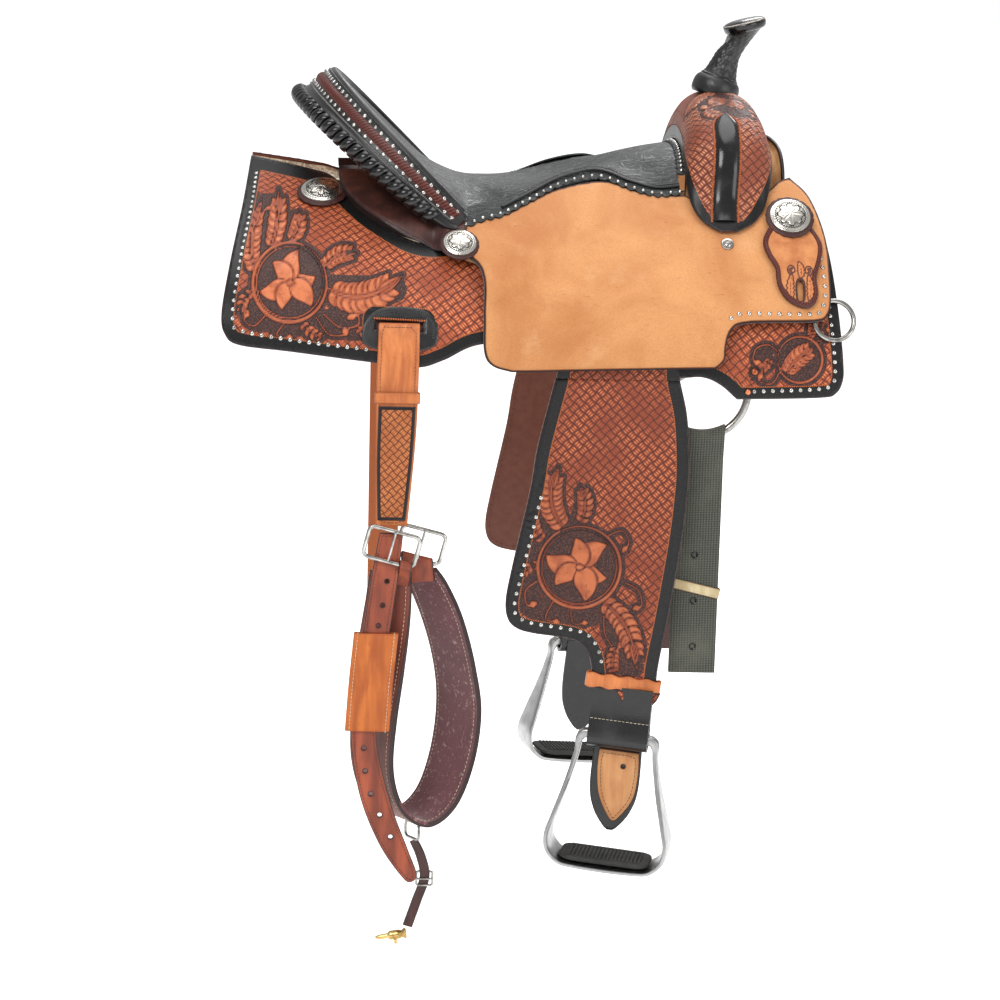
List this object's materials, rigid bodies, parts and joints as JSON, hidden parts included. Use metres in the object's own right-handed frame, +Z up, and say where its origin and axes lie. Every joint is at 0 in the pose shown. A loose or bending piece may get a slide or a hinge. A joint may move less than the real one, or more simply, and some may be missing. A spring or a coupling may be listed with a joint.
{
  "type": "barrel racing saddle",
  "caption": "Western barrel racing saddle with deep padded seat, tall wrapped horn, swelled fork, short round skirts, narrow fenders, metal stirrups and a flank cinch hung from its off billet.",
  "frame": {"origin": "in the middle of the channel between the tree bars, at the height where the saddle's weight meets the horse's back", "axes": "+X towards the horse's head, +Y to the near (left) side, +Z up"},
  "size_m": [0.67, 0.5448, 1.0157],
  "materials": {
    "tree_wood": "pale wood, covered",
    "steel": "stainless, worn",
    "carved_leather": "tooled, antiqued red-brown",
    "roughout_leather": "light tan roughout",
    "black_leather": "black, semi-gloss",
    "seat_leather": "black, embossed crackle",
    "strap_leather": "smooth tan harness leather",
    "brown_leather": "dark brown",
    "cinch_leather": "brown, lined with burgundy felt",
    "fleece": "woolly fleece",
    "webbing": "dark woven webbing",
    "silver": "engraved antique silver",
    "aluminium": "satin",
    "tread_rubber": "matt black",
    "brass": "polished"
  },
  "bodies": {
    "saddle": {"tree_bar_right": "tree_wood", "tree_bar_left": "tree_wood", "fork": "tree_wood", "cantle_board": "tree_wood", "ground_seat": "black_leather", "horn_post": "steel", "fork_cover": "carved_leather", "gullet_lining": "roughout_leather", "horn_wrap": "black_leather", "horn_cap": "black_leather", "seat_cover": "seat_leather", "cantle_roll": "black_leather", "cantle_back": "carved_leather", "seat_jockey_right": "roughout_leather", "seat_jockey_left": "roughout_leather", "skirt_right": "carved_leather", "skirt_left": "carved_leather", "fleece_right": "fleece", "fleece_left": "fleece", "drop_plate_right": "carved_leather", "drop_plate_left": "carved_leather", "front_concho_right": "silver", "front_concho_left": "silver", "seat_concho_right": "silver", "seat_concho_left": "silver", "rear_concho_right": "silver", "rear_concho_left": "silver", "stirrup_leather_right": "strap_leather", "stirrup_leather_left": "strap_leather"},
    "leather_bend_right": {"fender_top_right": "strap_leather"},
    "leather_bend_left": {"fender_top_left": "strap_leather"},
    "fender_right": {"fender_right": "carved_leather", "hobble_strap_right": "strap_leather", "stirrup_wrap_right": "black_leather"},
    "fender_left": {"fender_left": "carved_leather", "hobble_strap_left": "strap_leather", "stirrup_wrap_left": "black_leather"},
    "stirrup_right": {"stirrup_right": "aluminium", "tread_right": "tread_rubber"},
    "stirrup_left": {"stirrup_left": "aluminium", "tread_left": "tread_rubber"},
    "rigging_ring_right": {"rigging_ring_right": "steel"},
    "rigging_ring_left": {"rigging_ring_left": "steel"},
    "off_billet": {"off_billet": "webbing"},
    "latigo": {"latigo": "strap_leather"},
    "breast_ring_right": {"breast_ring_right": "steel"},
    "breast_ring_left": {"breast_ring_left": "steel"},
    "rear_billet_left": {"rear_billet_left": "strap_leather"},
    "flank_cinch": {"rear_billet_right": "strap_leather", "billet_tail": "strap_leather", "flank_cinch": "cinch_leather", "cinch_sleeve": "strap_leather", "buckle_front": "steel", "buckle_rear": "steel"},
    "tongue_front": {"tongue_front": "steel"},
    "tongue_rear": {"tongue_rear": "steel"},
    "cinch_dee": {"cinch_dee": "steel"},
    "connector": {"connector_strap": "brown_leather"},
    "snap": {"snap": "brass"},
    "snap_trigger": {"snap_trigger": "brass"}
  },
  "joints": [
    {"name": "fender_swing_right", "type": "hinge", "parent": "saddle", "child": "leather_bend_right", "pos_m": [0.0648, -0.2328, -0.052], "axis": [0, -1, 0], "range_deg": [-8, 6]},
    {"name": "fender_swing_left", "type": "hinge", "parent": "saddle", "child": "leather_bend_left", "pos_m": [0.0648, 0.2328, -0.052], "axis": [0, -1, 0], "range_deg": [-12, 6]},
    {"name": "fender_lift_right", "type": "hinge", "parent": "leather_bend_right", "child": "fender_right", "pos_m": [0.0648, -0.2328, -0.0795], "axis": [-1, 0, 0], "range_deg": [0, 70]},
    {"name": "fender_lift_left", "type": "hinge", "parent": "leather_bend_left", "child": "fender_left", "pos_m": [0.0648, 0.2328, -0.0795], "axis": [1, 0, 0], "range_deg": [0, 70]},
    {"name": "stirrup_turn_right", "type": "hinge", "parent": "fender_right", "child": "stirrup_right", "pos_m": [0.0765, -0.2336, -0.47], "axis": [0.9758, -0.2079, -0.0682], "range_deg": [-60, 60]},
    {"name": "stirrup_turn_left", "type": "hinge", "parent": "fender_left", "child": "stirrup_left", "pos_m": [0.0765, 0.2336, -0.47], "axis": [0.9758, 0.2079, -0.0682], "range_deg": [-60, 60]},
    {"name": "rigging_ring_right_tilt", "type": "hinge", "parent": "saddle", "child": "rigging_ring_right", "pos_m": [0.155, -0.21, -0.0698], "axis": [1, 0, 0], "range_deg": [-2, 6]},
    {"name": "rigging_ring_left_tilt", "type": "hinge", "parent": "saddle", "child": "rigging_ring_left", "pos_m": [0.155, 0.21, -0.0698], "axis": [1, 0, 0], "range_deg": [-6, 1.5]},
    {"name": "off_billet_swing", "type": "hinge", "parent": "rigging_ring_right", "child": "off_billet", "pos_m": [0.155, -0.21, -0.0965], "axis": [0, -1, 0], "range_deg": [-25, 25]},
    {"name": "latigo_swing", "type": "hinge", "parent": "rigging_ring_left", "child": "latigo", "pos_m": [0.155, 0.21, -0.0965], "axis": [0, -1, 0], "range_deg": [-25, 25]},
    {"name": "breast_ring_right_turn", "type": "hinge", "parent": "saddle", "child": "breast_ring_right", "pos_m": [0.29177, -0.2107, -0.0176], "axis": [0.0728, -0.9346, 0.3482], "continuous": true},
    {"name": "breast_ring_left_turn", "type": "hinge", "parent": "saddle", "child": "breast_ring_left", "pos_m": [0.29177, 0.2107, -0.0176], "axis": [0.0728, 0.9346, 0.3482], "continuous": true},
    {"name": "rear_billet_left_swing", "type": "hinge", "parent": "saddle", "child": "rear_billet_left", "pos_m": [-0.169, 0.2439, -0.03], "axis": [1, 0, 0], "range_deg": [0, 60]},
    {"name": "flank_cinch_swing", "type": "hinge", "parent": "saddle", "child": "flank_cinch", "pos_m": [-0.169, -0.2202, -0.03], "axis": [-1, 0, 0], "range_deg": [0, 25]},
    {"name": "tongue_front_turn", "type": "hinge", "parent": "flank_cinch", "child": "tongue_front", "pos_m": [-0.16801, -0.266, -0.24399], "axis": [-0.9703, 0, 0.2419], "range_deg": [0, 100]},
    {"name": "tongue_rear_turn", "type": "hinge", "parent": "flank_cinch", "child": "tongue_rear", "pos_m": [-0.13601, -0.22, -0.24999], "axis": [-0.9703, 0, 0.2419], "range_deg": [0, 100]},
    {"name": "cinch_dee_turn", "type": "hinge", "parent": "flank_cinch", "child": "cinch_dee", "pos_m": [-0.1398, -0.1982, -0.5765], "axis": [0.5592, -0.829, 0], "range_deg": [-25, 25]},
    {"name": "connector_turn", "type": "hinge", "parent": "cinch_dee", "child": "connector", "pos_m": [-0.1388, -0.1989, -0.5975], "axis": [0.5592, -0.829, 0], "range_deg": [-25, 25]},
    {"name": "snap_swivel", "type": "hinge", "parent": "connector", "child": "snap", "pos_m": [-0.144, -0.179, -0.7085], "axis": [-0.9854, 0, -0.1701], "continuous": true},
    {"name": "snap_trigger_slide", "type": "slide", "parent": "snap", "child": "snap_trigger", "axis": [-0.9854, 0, -0.1701], "range_m": [0, 0.006], "stiffness_N_per_m": 60}
  ]
}
